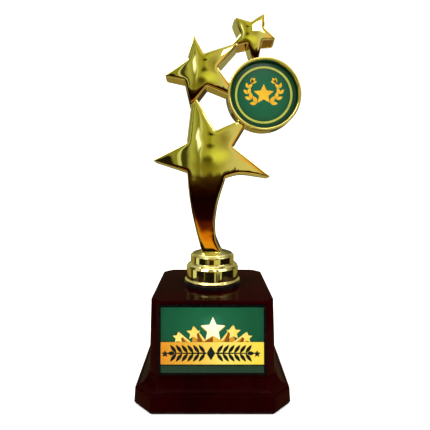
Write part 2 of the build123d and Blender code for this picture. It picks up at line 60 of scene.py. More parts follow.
# Lights in metres and watts: name, place, the point it aims at, size and power
LIGHTS = [
    ("key_softbox", (-0.7, -0.9, 1.1), (0, 0, 0.15), (0.7, 0.7), 9.5),
    ("fill_softbox", (0.9, -0.7, 0.9), (0, 0, 0.12), (0.8, 0.8), 5),
    ("arm_card", (0.058, -0.25, 0.296), (0.02, 0, 0.235), (0.042, 0.034), 0.0245),
    ("top_softbox", (0.0, 0.3, 1.5), (0, 0, 0.1), (1.4, 1.4), 16),
]

# ---------------------------------------------------------------- walls and mesh of the star shells

EDGE_Y = -8.0  # front edge of the side walls
SEAM_Y = 6.0  # joint between front shells and back covers
COVER_Y = 8.0
DRAFT = 0.9  # how far the walls spread from front edge to seam
SEAM_LIP = 0.35
SEAM_BEVEL = 0.3  # how far from the seam the walls turn in
SEAM_GAP = 0.1
COVER_INSET = 0.05  # how far the cover's wall stands behind the shell's
WALL_STEPS = 4
COVER_ROUNDING = [(0.25, 0.1), (0.6, 0.5)]  # rings of the cover's back edge, as (outwards, forwards)
RING_INSETS = (0.15, 0.35, 0.65, 1.05, 1.6)
RING_KEEP = 0.9  # a ring's point stays if it is this share of its inset away from every edge
GRID_STEP = 0.9
GRID_ROW = 0.866  # distance between rows of a triangular grid, as a share of its step
OUTLINE_STEP = 0.5

# ---------------------------------------------------------------- meshing of every piece

ARC_STEP = radians(9)
ARC_LIMIT = 0.45  # an arc takes at most this share of a run on either side of its corner
TINY = 1e-6
NEARLY_STRAIGHT = 1e-3  # radians
WELD = 1e-5  # points nearer than this become one
AREA_FLOOR = 1e-12  # keeps a sliver's weight finite
# Corners sharper than these degrees stay sharp
STAR_SMOOTH, LATHE_SMOOTH, PLINTH_SMOOTH, PRINT_SMOOTH, CAD_SMOOTH = 40, 50, 35, 20, 30
SOLVER_STEPS = 1500
SOLVER_GOAL = 1e-16

# ---------------------------------------------------------------- stars, medallion and collar

# Outlines as (X, Z, corner radius), clockwise seen from the front
LOWER_STAR = [
    (-13.6, 196.9, 0.8), (2.0, 170.4, 1.2), (27.4, 181.3, 1.0), (14.0, 159.3, 1.2), (42.4, 137.5, 1.0),
    (19.0, 141.0, 30.0), (8.9, 138.0, 2.5), (3.1, 120.0, 60.0), (1.2, 106.4, 30.0), (1.6, 96.3, 14.0),
    (6.2, 85.8, 0.4), (-7.0, 85.8, 0.4), (-11.0, 100.8, 90.0), (-13.9, 113.4, 90.0), (-16.2, 128.0, 90.0),
    (-17.2, 141.6, 1.6), (-42.0, 149.8, 1.0), (-17.6, 162.4, 1.2),
]
MIDDLE_STAR = [
    (-13.0, 236.4, 0.8), (-5.6, 222.9, 1.0), (19.4, 231.2, 1.0), (3.6, 213.5, 1.2), (21.0, 190.8, 1.0),
    (-3.7, 201.0, 1.2), (-14.8, 186.8, 0.8), (-18.9, 204.8, 1.0), (-33.6, 208.0, 0.9), (-16.9, 219.2, 1.0),
]
UPPER_STAR = [
    (14.3, 248.4, 1.1), (26.3, 244.6, 1.0), (36.2, 250.6, 1.1), (35.7, 240.7, 1.0), (45.0, 232.7, 1.2),
    (34.2, 232.3, 1.0), (30.4, 210.6, 1.0), (24.4, 230.5, 1.0), (11.4, 227.6, 1.0), (19.3, 236.5, 1.0),
]
# Each star's face is part of a large ball: middle X, middle Z, ball radius, and how far its middle stands out
LOWER_BALL = (0.0, 145.0, 400.0, 0.0)
MIDDLE_BALL = (-7.0, 228.0, 270.0, 1.5)
UPPER_BALL = (33.0, 256.0, 190.0, 1.6)
RIM_HEIGHT = 0.4  # rounding along the faces' edges
RIM_WIDTH = 0.7
COVER_CROWN = 1.6  # how far the back covers bulge behind their edges
STEM_BLEND = (122.0, 147.0)  # heights between which the stem's flat back turns into the star's

MEDAL_CENTRE = (35.7, 195.4)
MEDAL_KEEP_OUT = 24.2  # arms that meet the medallion end inside its wall
DISC_RADIUS = 22.8

# Medallion cup's section, from the seam round the rim to the seat, as (radius, Y, corner radius)
CUP_SECTION = [
    (0.0, 5.8, 0.0), (25.6, 5.8, 0.2), (26.0, 5.4, 0.3), (25.3, -9.2, 0.8), (24.9, -10.4, 0.6),
    (23.6, -10.3, 0.6), (23.05, -9.2, 0.6), (23.0, -3.6, 0.2), (0.0, -3.6, 0.0),
]
CUP_COVER_SECTION = [
    (0.0, 6.0, 0.0), (25.7, 6.0, 0.2), (25.9, 6.4, 0.3), (25.5, 8.0, 0.9), (22.8, 8.1, 0.6), (21.6, 9.1, 0.6),
    (0.0, 9.1, 0.0),
]

# Riser collar's section, from the underside to the top, as (radius, Z, corner radius)
COLLAR_SECTION = [
    (0.0, 66.2, 0.0), (19.3, 66.2, 0.3), (19.4, 67.4, 0.5), (18.15, 68.3, 0.6), (18.15, 75.9, 0.7),
    (17.4, 77.3, 0.8), (16.0, 78.3, 0.7), (15.25, 79.2, 0.6), (15.25, 83.7, 0.7), (13.9, 85.2, 1.0),
    (8.2, 87.2, 0.9), (7.0, 87.25, 0.3), (6.9, 88.2, 0.4), (6.2, 88.9, 0.4), (0.0, 89.0, 0.0),
]
LATHE_SEGMENTS = 192
LATHE_STEP = 0.6

# ---------------------------------------------------------------- plinth

# Each section runs upwards as (half width, corner cut, Z, corner radius)
BLOCK_SECTION = [
    (39.3, 6.4, 4.2, 0.0), (39.25, 6.4, 17.0, 5.0), (38.25, 6.2, 62.9, 1.6), (37.2, 5.8, 63.7, 1.0),
    (36.0, 5.4, 63.7, 0.0),
]
BASE_SECTION = [
    (47.2, 11.2, 1.0, 0.0), (48.0, 11.4, 1.3, 0.3), (47.5, 11.3, 9.9, 1.0), (46.6, 11.0, 10.8, 0.7),
    (45.3, 10.5, 10.9, 0.5), (42.6, 8.8, 12.3, 3.4), (40.6, 7.4, 15.6, 3.4), (40.2, 7.0, 17.3, 0.5),
    (39.5, 6.6, 17.6, 0.2), (39.3, 6.4, 17.6, 0.0),
]
PLINTH_EDGE_ROUND = 2.4

# ---------------------------------------------------------------- printed artwork

PRINT_THICK = 0.09
LAYER_RISE = PRINT_THICK / 3  # how much thicker each layer of the name plate's print is than the one below
STAR_WAIST = 0.47  # inner radius of a printed star as a share of its outer radius
# A leaf's outline: shares of its length, and of its half width on that side
LEAF_ALONG = [0.0, 0.15, 0.35, 0.6, 0.82, 1.0, 0.82, 0.6, 0.35, 0.15]
LEAF_ACROSS = [0.0, 0.55, 0.95, 0.9, 0.5, 0.0, -0.5, -0.9, -0.95, -0.55]

# The medallion's disc, from its middle: a ring line round a star between two laurel sprigs
DISC_RING = (19.2, 1.4)  # radius and width
DISC_RING_PIECES = 96
DISC_STAR = (0.0, 0.4, 7.2)
SPRIG_MIDDLE = (0.0, 2.6)
SPRIG_OVAL = (11.4, 9.0)  # half width and half height of the oval that both sprigs follow
SPRIG_SPAN = (radians(-66), radians(40))
SPRIG_PAIRS = 5
SPRIG_LEAF = (5.6, 2.9)  # length and width of a leaf at the foot
SPRIG_LEANS = [(0.62, 1.0), (-0.5, 0.9)]  # angle to the stalk and size of the outer and the inner leaf
SPRIG_TAPER = 0.28
SPRIG_TIP = (0.8, 0.75)  # the leaf at the tip, as shares of one at the foot

# The name plate, across and up from its middle
BAND_LOW, BAND_HIGH = -14.3, -1.0
BAND_SHADOW = 1.0  # width of the dark line under the band
PLATE_HALF_WIDTH = 31.1
PLATE_EDGE = 0.2  # points this near the plate's top or bottom count as its edge
# Each star of the fan: across, up, radius. A side star's tail ends at a point on or above the band.
BIG_STAR = (0.4, 6.5, 7.8)
SIDE_STARS = [
    ((-20.5, 1.6, 3.5), (-13.0, -1.0)), ((20.9, 1.6, 3.5), (12.8, -1.0)),
    ((-11.4, 4.3, 4.3), (-3.9, -0.2)), ((12.8, 4.7, 4.5), (4.9, -0.2)),
]
# A side star's tail: points out from and up from the star's middle, as shares of its radius
TAIL_TOP, TAIL_FOOT = (0.0, 1.0), -0.2
LIT_TOP, LIT_FOOT = (0.1, 0.95), (0.2, 0.58)
LIT_END_WIDTH = 1.5
SHADE_TOP, SHADE_FOOT = (0.7, 0.2), (0.35, -0.2)
SHADE_BOTTOM = (1.25, 0.6)  # its outer and inner reach along the band
BIG_STAR_EDGE = (0.5, 0.97)  # the gold edge shows this far below the white star, which is this much smaller
BIG_SHADOW = [(-4.3, BAND_HIGH), (-4.1, -0.4), (0.4, 3.2), (0.4, BAND_HIGH)]
BIG_TAIL = [(0.4, BAND_HIGH), (0.4, 3.2), (5.1, 0.4), (5.8, BAND_HIGH)]
BAND_STARS = [(-28.5, -8.0, 2.3), (27.0, -8.0, 2.3)]
# The band's ornament: leaf pairs along a stalk on both sides of a diamond, with a leaf at each end
ORNAMENT_X = -0.8
DIAMOND_HALF = (2.6, 4.2)
STALK_SPAN = (2.8, 22.4)
STALK_HALF_WIDTHS = (0.5, 0.3)
PAIR_START, PAIR_PITCH, PAIR_COUNT = 3.6, 3.45, 6
PAIR_LEAN = radians(52)
PAIR_LEAF = (6.2, 2.2)  # length and width
PAIR_GAP = 0.2
END_LEAF_START = 21.8
END_LEAF = (4.4, 2.6)

# Inks: the light and the dark tone that each drifts between
INKS = {
    "disc_yellow_print": ((0.546, 0.328, 0.0195), (0.484, 0.25, 0.00936)),
    "disc_ring_print": ((0.359, 0.367, 0.0624), (0.296, 0.304, 0.0468)),
    "fan_gold_print": ((0.562, 0.359, 0.039), (0.468, 0.25, 0.0156)),
    "fan_pale_print": ((0.655, 0.546, 0.156), (0.624, 0.421, 0.0546)),
    "fan_white_print": ((0.740, 0.720, 0.500), (0.690, 0.640, 0.340)),
    "fan_shade_print": ((0.187, 0.0585, 0.0039), (0.133, 0.039, 0.00312)),
    "fan_amber_print": ((0.484, 0.234, 0.014), (0.374, 0.156, 0.00936)),
    "band_dark_print": ((0.003, 0.007, 0.006), (0.005, 0.010, 0.009)),
    "band_shadow_print": ((0.006, 0.016, 0.008), (0.005, 0.012, 0.006)),
}
INK_GLOSS = 0.2
INK_ROUGHNESS = (0.22, 0.30)
BAND_NOISE = 500  # features in a metre
CARD_ROUGHNESS = (0.14, 0.2)  # the printed ground under the inks
CARD_NOISE = 300
CARD_RELIEF = (0.02, 0.0003)  # strength and depth in metres
# Tones along the band from left to right
BAND_TONES = [
    (0.0, (0.452, 0.164, 0.00468)), (0.3, (0.515, 0.281, 0.0234)), (0.6, (0.608, 0.468, 0.078)),
    (1.0, (0.593, 0.421, 0.0312)),
]
# Tones of the green grounds from a bright middle outwards
LABEL_GLOW = ((0.0, 0.0, 50.0), 34.0)  # middle and radius
LABEL_TONES = [
    (0.0, (0.0156, 0.117, 0.0624)), (0.3, (0.00624, 0.0718, 0.0312)), (0.8, (0.0039, 0.0546, 0.0234)),
    (1.0, (0.00468, 0.0429, 0.0203)),
]
LABEL_STRIP = (5.2, 0.6, (0.0109, 0.0312, 0.0179))  # the plain strip's height, soft edge and tone
# The disc's tones: a printed gradient from a bright middle, darkest at the edge, where painted shade of the
# cup's recess is added
DISC_TONES_AND_EDGE_SHADE = [
    (0.0, (0.00468, 0.078, 0.0374)), (0.6, (0.00468, 0.064, 0.0296)), (0.84, (0.00468, 0.0468, 0.0203)),
    (1.0, (0.00312, 0.0281, 0.0125)),
]


# ---------------------------------------------------------------- room that the mirror surfaces show

# Directions in degrees: round the horizon from the front, positive to the viewer's right, or up from level
ROUND_LIMITS = (-180, 180)
FRONT_LIMITS = (-30, 30)
FRONT_END = (29.1, 30)  # where the front's finer bands give way to the bands all round
WOBBLE_SCALE = 8.0
ROUND_WOBBLE = 0.5
CEILING_RISE = (30, 60)
CEILING_COLOUR = (0.75, 0.75, 0.65)
HORIZON_RISE = (-6, 6)
HORIZON_SOFT = 0.35
RAGGED_SCALE = 26.0
RAGGED_HEIGHT = 1.7
TABLE_LIMITS = (-50, 10)
BEHIND = (60, 100)  # how far round the front's table turns into the back's
SIDE_START = (32, 42)
SIDE_END = (138, 150)
NEAR_TOP = (-12.2, -11.6)
NEAR_BOTTOM = (-18.6, -16.9)
STRIP_SPAN = (13, 17)  # how far round the orange strip reaches before it ends
STRIP_DROP = 3.8
# Bands as (degrees round, colour)
ROUND_BANDS = [
    (-180, (0.09, 0.08, 0.04)), (-170, (0.10, 0.09, 0.05)), (-160, (0.34, 0.34, 0.13)),
    (-140, (0.50, 0.50, 0.30)), (-110, (0.10, 0.10, 0.05)), (-95, (0.03, 0.03, 0.02)),
    (-80, (0.75, 0.78, 0.60)), (-66, (0.80, 0.85, 0.70)), (-58, (0.10, 0.10, 0.05)),
    (-44, (0.30, 0.30, 0.12)), (-36, (0.85, 0.90, 0.75)), (-30, (0.10, 0.10, 0.04)),
    (30, (0.16, 0.09, 0.03)), (60, (0.70, 0.70, 0.45)), (110, (0.10, 0.06, 0.03)),
    (150, (0.42, 0.42, 0.22)), (160, (0.30, 0.30, 0.15)), (168, (0.10, 0.09, 0.05)),
    (180, (0.09, 0.08, 0.04)),
]
FRONT_BANDS = [
    (-30, (0.10, 0.10, 0.04)), (-24, (0.25, 0.25, 0.08)), (-14, (0.30, 0.31, 0.08)),
    (-12.4, (0.25, 0.26, 0.04)), (-11.9, (0.62, 0.66, 0.34)), (-10.9, (0.80, 0.88, 0.50)),
    (-10.5, (0.05, 0.055, 0.012)), (-9.0, (0.06, 0.06, 0.014)), (-8.6, (0.24, 0.24, 0.07)),
    (-7.4, (0.50, 0.54, 0.17)), (-6.2, (0.40, 0.43, 0.10)), (-5.0, (0.21, 0.22, 0.035)),
    (-4.2, (0.30, 0.32, 0.07)), (-3.7, (0.78, 0.86, 0.42)), (-3.1, (0.45, 0.46, 0.12)),
    (-1.8, (0.38, 0.38, 0.05)), (-0.6, (0.30, 0.31, 0.03)), (0.6, (0.52, 0.54, 0.11)),
    (2.6, (0.56, 0.56, 0.15)), (4.6, (0.56, 0.54, 0.20)), (8.0, (0.70, 0.68, 0.37)),
    (13.0, (0.78, 0.70, 0.34)), (17.0, (0.74, 0.54, 0.20)), (22.0, (0.40, 0.18, 0.04)),
    (30, (0.16, 0.09, 0.03)),
]
# Patches: middle and half size as (degrees round, degrees up), then the soft share of the size and the colour
ROOM_PATCHES = [
    ((-20.5, 1.0), (6.6, 7.0), 0.10, (0.016, 0.012, 0.009)),
    ((-2.0, 1.0), (4.4, 2.2), 0.7, (0.22, 0.20, 0.025)),
    ((2.2, 4.4), (3.0, 2.0), 0.6, (0.80, 0.86, 0.17)),
    ((-1.6, 3.0), (1.4, 1.4), 0.6, (0.10, 0.10, 0.010)),
    ((-0.5, 7.8), (1.1, 0.9), 0.6, (0.08, 0.07, 0.008)),
    ((-0.3, 12.2), (1.2, 0.6), 0.5, (0.02, 0.014, 0.004)),
    ((3.8, 10.2), (2.2, 2.6), 0.7, (0.32, 0.29, 0.08)),
    ((14.2, 5.4), (4.0, 2.2), 0.45, (1.0, 0.50, 0.13)),
    ((-4.8, 10.3), (0.62, 3.2), 0.4, (2.0, 2.1, 2.2)),
]
# The table's far edge, by degrees round: its height as a share of HORIZON_RISE, its raggedness, and nothing
HORIZON_LINE = [
    (-30, (0.45, 0.0, 0.0)), (-12, (0.44, 0.0, 0.0)), (-6, (0.44, 0.0, 0.0)),
    (-2, (0.46, 0.1, 0.0)), (3, (0.47, 0.2, 0.0)), (5, (0.46, 0.9, 0.0)),
    (9, (0.46, 0.9, 0.0)), (11, (0.32, 0.3, 0.0)), (30, (0.30, 0.0, 0.0)),
]
# The table's tones as (degrees up, colour)
FRONT_TABLE = [
    (-50, (0.60, 0.54, 0.30)), (-32, (0.46, 0.40, 0.18)), (-21, (0.24, 0.19, 0.08)),
    (-18, (0.012, 0.006, 0.004)), (-12.2, (0.02, 0.010, 0.003)),
    (-11.7, (0.80, 0.36, 0.03)), (-10.5, (0.90, 0.34, 0.015)), (-9.3, (0.70, 0.20, 0.008)),
    (-8.4, (0.10, 0.012, 0.003)), (-7, (0.012, 0.001, 0.001)), (-4, (0.005, 0.0006, 0.0006)),
    (-2.5, (0.016, 0.003, 0.001)), (-1, (0.055, 0.030, 0.006)), (0.5, (0.10, 0.07, 0.015)),
    (2, (0.02, 0.015, 0.005)), (10, (0.01, 0.01, 0.006)),
]
BACK_TABLE = [
    (-50, (0.03, 0.015, 0.01)), (-27, (0.04, 0.015, 0.006)), (-24, (0.22, 0.12, 0.03)),
    (-20, (0.48, 0.30, 0.08)), (-13, (0.45, 0.36, 0.13)), (-9, (0.14, 0.12, 0.05)),
    (-3, (0.05, 0.04, 0.02)), (4, (0.05, 0.05, 0.03)), (10, (0.3, 0.3, 0.16)),
]
SIDE_TABLE = [
    (-50, (0.60, 0.54, 0.30)), (-20, (0.52, 0.44, 0.20)), (-9, (0.40, 0.33, 0.13)),
    (-2, (0.18, 0.14, 0.05)), (3, (0.10, 0.08, 0.03)),
]
# Just below the orange strip, where the collar's upright walls look: dark with bright bars
NEAR_BANDS = [
    (-180, (0.26, 0.20, 0.05)), (-112, (0.36, 0.30, 0.08)), (-106, (0.05, 0.04, 0.01)),
    (-96, (0.03, 0.02, 0.01)), (-92, (0.80, 0.86, 0.50)), (-76, (0.85, 0.90, 0.60)),
    (-71, (0.010, 0.008, 0.005)), (-37, (0.010, 0.008, 0.005)), (-34, (0.22, 0.22, 0.08)),
    (-30, (0.008, 0.006, 0.004)), (8, (0.008, 0.006, 0.004)), (12, (0.85, 0.88, 0.55)),
    (16, (0.02, 0.02, 0.01)), (22, (0.14, 0.13, 0.07)), (33, (0.03, 0.02, 0.01)),
    (38, (0.90, 0.92, 0.62)), (43, (0.010, 0.006, 0.005)), (103, (0.010, 0.006, 0.005)),
    (109, (0.28, 0.26, 0.12)), (118, (0.32, 0.30, 0.09)), (180, (0.26, 0.20, 0.05)),
]
NEAR_PATCHES = [
    ((26.0, -12.6), (15.0, 1.5), 0.25, (0.74, 0.76, 0.26)),
    ((-22.0, -12.8), (7.0, 1.1), 0.3, (0.34, 0.34, 0.12)),
]


# ---------------------------------------------------------------- small geometry helpers


def soften(points, closed):
    """A path of (u, v, radius) corners turned into points, each corner replaced by its arc."""
    corners = np.array([p[:2] for p in points], float)
    count = len(corners)
    path = []
    for i, (corner, radius) in enumerate(zip(corners, [p[2] for p in points])):
        if not closed and i in (0, count - 1):
            path.append(corner)
            continue
        back, ahead = corners[i - 1] - corner, corners[(i + 1) % count] - corner
        length_back, length_ahead = np.linalg.norm(back), np.linalg.norm(ahead)
        back, ahead = back / length_back, ahead / length_ahead
        half = np.arccos(np.clip(back @ ahead, -1, 1)) / 2
        reach = min(radius / tan(half), ARC_LIMIT * length_back, ARC_LIMIT * length_ahead) if radius else 0.0
        if reach < TINY or half > pi / 2 - NEARLY_STRAIGHT:
            path.append(corner)
            continue
        bend = reach * tan(half)
        middle = corner + (back + ahead) / np.linalg.norm(back + ahead) * bend / sin(half)
        start, end = corner + back * reach - middle, corner + ahead * reach - middle
        turn = atan2(start[0] * end[1] - start[1] * end[0], start @ end)
        steps = max(3, int(np.ceil(abs(turn) / ARC_STEP - TINY)))
        for k in range(steps + 1):
            a = turn * k / steps
            path.append(middle + np.array([start[0] * cos(a) - start[1] * sin(a),
                                           start[0] * sin(a) + start[1] * cos(a)]))
    return np.array(path)


def divide(path, step, closed=True):
    """A path with points added so that none of its runs is longer than a step."""
    out = []
    for a, b in zip(path, np.roll(path, -1, 0) if closed else path[1:]):
        pieces = max(1, int(np.ceil(np.linalg.norm(b - a) / step)))
        out.extend(a + (b - a) * k / pieces for k in range(pieces))
    return np.array(out)


def outward(path):
    """Unit normals of a clockwise closed path."""
    along = np.roll(path, -1, 0) - np.roll(path, 1, 0)
    along /= np.linalg.norm(along, axis=1)[:, None]
    return np.stack([-along[:, 1], along[:, 0]], 1)


def edge_distance(points, path):
    """Each point's distance to a closed path, negative outside it."""
    a, b = path, np.roll(path, -1, 0)
    run = b - a
    rel = points[:, None] - a[None]
    share = np.clip((rel * run).sum(2) / (run * run).sum(1), 0, 1)
    gap = np.linalg.norm(rel - share[..., None] * run, axis=2).min(1)
    above = (a[None, :, 1] > points[:, None, 1]) != (b[None, :, 1] > points[:, None, 1])
    rise = np.where(run[:, 1] == 0, 1, run[:, 1])
    cross = a[:, 0] + (points[:, None, 1] - a[:, 1]) / rise * run[:, 0]
    inside = (above & (points[:, None, 0] < cross)).sum(1) % 2 == 1
    return np.where(inside, gap, -gap)


def new_object(name, verts, faces, smooth_angle):
    """A mesh object from millimetre points, shaded smooth except at corners sharper than the angle."""
    mesh = bpy.data.meshes.new(name)
    mesh.from_pydata([tuple(c * MM for c in v) for v in verts], [], [tuple(int(i) for i in f) for f in faces])
    mesh.validate()
    mesh.polygons.foreach_set("use_smooth", [True] * len(mesh.polygons))
    mesh.set_sharp_from_angle(angle=radians(smooth_angle))
    obj = bpy.data.objects.new(name, mesh)
    bpy.context.scene.collection.objects.link(obj)
    return obj


def fix_normals(obj):
    """Turns every face outwards."""
    work = bmesh.new()
    work.from_mesh(obj.data)
    bmesh.ops.recalc_face_normals(work, faces=work.faces)
    work.to_mesh(obj.data)
    work.free()


# ---------------------------------------------------------------- star, medallion and collar pieces


class Flat:
    """A filled outline: its points, its triangles, and a smooth field, 0 on the edge and 1 well inside."""

    def __init__(self, corners):
        self.edge = divide(soften(corners, closed=True), OUTLINE_STEP)
        self.normals = outward(self.edge)
        points = [self.edge]
        for inset in RING_INSETS:
            ring = self.edge - self.normals * inset
            points.append(ring[edge_distance(ring, self.edge) > RING_KEEP * inset])
        points.append(self.grid())
        points = np.concatenate(points)
        count = len(self.edge)
        loop = [(i, (i + 1) % count) for i in range(count)]
        verts, _, faces, *_ = delaunay_2d_cdt([Vector(p) for p in points], loop, [], 1, WELD)
        self.points = np.array([tuple(v) for v in verts])
        self.faces = np.array([f for f in faces if len(f) == 3])
        self.count = count
        self.plateau = self.solve(1.0 / RIM_WIDTH**2)

    def grid(self):
        """Triangular grid points well inside the outline."""
        low, high = self.edge.min(0), self.edge.max(0)
        rows = np.arange(low[1], high[1], GRID_STEP * GRID_ROW)
        cols = np.arange(low[0], high[0], GRID_STEP)
        u, v = np.meshgrid(cols, rows)
        u = u + (np.arange(len(rows)) % 2 * GRID_STEP / 2)[:, None]
        points = np.stack([u.ravel(), v.ravel()], 1)
        return points[edge_distance(points, self.edge) > RING_INSETS[-1] + 0.5 * GRID_STEP]

    def solve(self, pull):
        """The sagging-membrane field over the outline: its Laplacian minus pull times itself is constant."""
        p, t = self.points, self.faces
        count = len(p)
        heads, tails, weights = [], [], []
        area = np.zeros(count)
        for a, b, c in ((0, 1, 2), (1, 2, 0), (2, 0, 1)):
            left, right = p[t[:, b]] - p[t[:, a]], p[t[:, c]] - p[t[:, a]]
            twice = np.abs(left[:, 0] * right[:, 1] - left[:, 1] * right[:, 0]) + AREA_FLOOR
            heads.append(t[:, b])
            tails.append(t[:, c])
            weights.append((left * right).sum(1) / twice / 2)
            area += np.bincount(t[:, a], twice / 6, count)
        heads, tails, weights = map(np.concatenate, (heads, tails, weights))
        free = np.ones(count, bool)
        free[: self.count] = False

        def apply(x):
            flow = weights * (x[heads] - x[tails])
            out = np.bincount(heads, flow, count) - np.bincount(tails, flow, count) + pull * area * x
            return np.where(free, out, 0.0)

        x = np.zeros(count)
        rest = np.where(free, area, 0.0)
        step = rest.copy()
        size = rest @ rest
        for _ in range(SOLVER_STEPS):
            pushed = apply(step)
            share = size / (step @ pushed)
            x += share * step
            rest -= share * pushed
            new_size = rest @ rest
            if new_size < SOLVER_GOAL:
                break
            step = rest + new_size / size * step
            size = new_size
        return x / x.max()


def solid_from_flat(name, flat, face_y, rings):
    """A closed piece: a curved face over the outline, walls through (outset, Y) rings, and a flat back."""
    verts = [(x, y, z) for (x, z), y in zip(flat.points, face_y)]
    faces = [tuple(f) for f in flat.faces]
    last = list(range(flat.count))
    for outset, ring_y in rings:
        start = len(verts)
        across = flat.edge + flat.normals * outset
        verts += [(x, y, z) for (x, z), y in zip(across, np.broadcast_to(ring_y, flat.count))]
        ring = list(range(start, start + flat.count))
        faces += [(last[i], last[i - 1], ring[i - 1], ring[i]) for i in range(flat.count)]
        last = ring
    faces.append(tuple(last))
    verts = np.array(verts)
    keep_out_of_medal(verts)
    obj = new_object(name, verts, faces, STAR_SMOOTH)
    fix_normals(obj)
    return obj


def keep_out_of_medal(verts):
    """Moves points that lie inside the medallion out into its wall, where the arm ends unseen."""
    rel = verts[:, (0, 2)] - MEDAL_CENTRE
    far = np.linalg.norm(rel, axis=1)
    inside = far < MEDAL_KEEP_OUT
    verts[inside, 0] = MEDAL_CENTRE[0] + rel[inside, 0] / far[inside] * MEDAL_KEEP_OUT
    verts[inside, 2] = MEDAL_CENTRE[1] + rel[inside, 1] / far[inside] * MEDAL_KEEP_OUT


def ball_rise(points, ball, upright_below):
    """How far a crowned face stands in front of the edge plane. Below a height it no longer leans."""
    middle_x, middle_z, radius, stand = ball
    across = points[:, 0] - middle_x
    up = np.maximum(points[:, 1], upright_below) - middle_z
    return stand - (across**2 + up**2) / (2 * radius)


def star_pieces(label, corners, ball, upright_below=0.0):
    """A star's front shell and back cover."""
    flat = Flat(corners)
    crown = ball_rise(flat.points, ball, upright_below)
    front = EDGE_Y - crown - RIM_HEIGHT * flat.plateau
    edge = front[: flat.count]
    shares = np.arange(1, WALL_STEPS + 1) / WALL_STEPS
    walls = [(DRAFT * s, edge + (SEAM_Y - SEAM_BEVEL - edge) * s) for s in shares]
    walls.append((DRAFT - SEAM_LIP, SEAM_Y - SEAM_GAP))
    shell = solid_from_flat(f"{label}_front", flat, front, walls)
    low, high = STEM_BLEND
    blend = np.clip((flat.points[:, 1] - low) / (high - low), 0, 1)
    blend = blend * blend * (3 - 2 * blend)
    bulge = COVER_CROWN * (crown - crown.min()) / np.ptp(crown)
    back = COVER_Y + bulge * blend + RIM_HEIGHT * flat.plateau
    rims = [(outset, back[: flat.count] - drop) for outset, drop in COVER_ROUNDING]
    rims += [(DRAFT - COVER_INSET, SEAM_Y + SEAM_BEVEL), (DRAFT - SEAM_LIP, SEAM_Y)]
    cover = solid_from_flat(f"{label}_back", flat, back, rims)
    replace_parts(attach(shell, "figure"), f"{label}_star_shell")
    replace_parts(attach(cover, "figure"), f"{label}_star_cover")
    return [shell, cover]


def lathe(name, section, place, axis, step=LATHE_STEP):
    """A piece turned from a softened section of (radius, height, corner radius)."""
    path = soften(section, closed=False)
    path = np.vstack([divide(path, step, closed=False), path[-1:]])
    px, pz = place
    verts, faces = [], []
    rings = []
    for radius, height in path:
        if radius < TINY:
            rings.append([len(verts)])
            verts.append((px, height, pz) if axis == "Y" else (px, pz, height))
            continue
        ring = []
        for k in range(LATHE_SEGMENTS):
            a = 2 * pi * k / LATHE_SEGMENTS
            u, v = radius * cos(a), radius * sin(a)
            ring.append(len(verts))
            verts.append((px + u, height, pz + v) if axis == "Y" else (px + u, pz + v, height))
        rings.append(ring)
    for low, high in zip(rings, rings[1:]):
        for k in range(LATHE_SEGMENTS):
            j = (k + 1) % LATHE_SEGMENTS
            quad = [low[k % len(low)], low[j % len(low)], high[j % len(high)], high[k % len(high)]]
            face = tuple(dict.fromkeys(quad))
            if len(face) > 2:
                faces.append(face)
    obj = new_object(name, verts, faces, LATHE_SMOOTH)
    fix_normals(obj)
    return obj


def medallion_pieces():
    """The medallion's cup and its back cover."""
    cup = lathe("medallion_cup_turned", CUP_SECTION, MEDAL_CENTRE, "Y")
    cover = lathe("medallion_back_turned", CUP_COVER_SECTION, MEDAL_CENTRE, "Y")
    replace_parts(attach(cup, "figure"), "medallion_cup")
    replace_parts(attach(cover, "figure"), "medallion_cover")
    return [cup, cover]


def collar_piece():
    """The stepped collar under the stem."""
    collar = lathe("collar_turned", COLLAR_SECTION, (0.0, 0.0), "Z")
    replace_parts(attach(collar, "figure"), "riser_collar")
    return collar


# ---------------------------------------------------------------- plinth pieces


def octagon(half, cut, z):
    """A square ring with cut, softened corners at height z."""
    inner = half - cut
    corners = [
        (inner, -half), (half, -inner), (half, inner), (inner, half),
        (-inner, half), (-half, inner), (-half, -inner), (-inner, -half),
    ]
    radius = min(PLINTH_EDGE_ROUND, cut)
    return [(x, y, z) for x, y in soften([(x, y, radius) for x, y in corners], closed=True)]


def stacked(name, section):
    """A closed solid through octagon rings whose section corners are softened."""
    path = soften([(half, z, radius) for half, _, z, radius in section], closed=False)
    halves, cuts, heights = (np.array([row[k] for row in section]) for k in range(3))
    order = np.argsort(halves)
    verts, faces, last = [], [], None
    for half, z in path:
        cut = float(np.interp(half, halves[order], cuts[order]))
        ring_points = octagon(half, cut, z)
        ring = list(range(len(verts), len(verts) + len(ring_points)))
        verts += ring_points
        if last:
            faces += [(last[i], last[i - 1], ring[i - 1], ring[i]) for i in range(len(ring))]
        else:
            faces.append(tuple(ring))
        last = ring
    faces.append(tuple(last))
    obj = new_object(name, verts, faces, PLINTH_SMOOTH)
    fix_normals(obj)
    return obj


def plinth_pieces():
    """The plinth's block and base."""
    block = stacked("plinth_block_moulded", BLOCK_SECTION)
    base = stacked("plinth_base_moulded", BASE_SECTION)
    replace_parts(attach(block, "plinth"), "plinth_block")
    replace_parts(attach(base, "plinth"), "plinth_base")
    return [block, base]


# ---------------------------------------------------------------- printed pieces


def star_points(cx, cy, radius):
    """A five-pointed star standing on two tips."""
    points = []
    for k in range(10):
        r = radius if k % 2 == 0 else radius * STAR_WAIST
        a = pi / 2 - k * pi / 5
        points.append((cx + r * cos(a), cy + r * sin(a)))
    return points


def leaf_points(x, y, angle, length, width):
    """A pointed leaf from its stalk at (x, y), as a closed outline."""
    out = []
    for s, w in zip(LEAF_ALONG, LEAF_ACROSS):
        along, across = s * length, w * width / 2
        out.append((x + along * cos(angle) - across * sin(angle),
                    y + along * sin(angle) + across * cos(angle)))
    return out


def rectangle(left, bottom, right, top):
    """An upright rectangle as an outline."""
    return [(left, bottom), (right, bottom), (right, top), (left, top)]


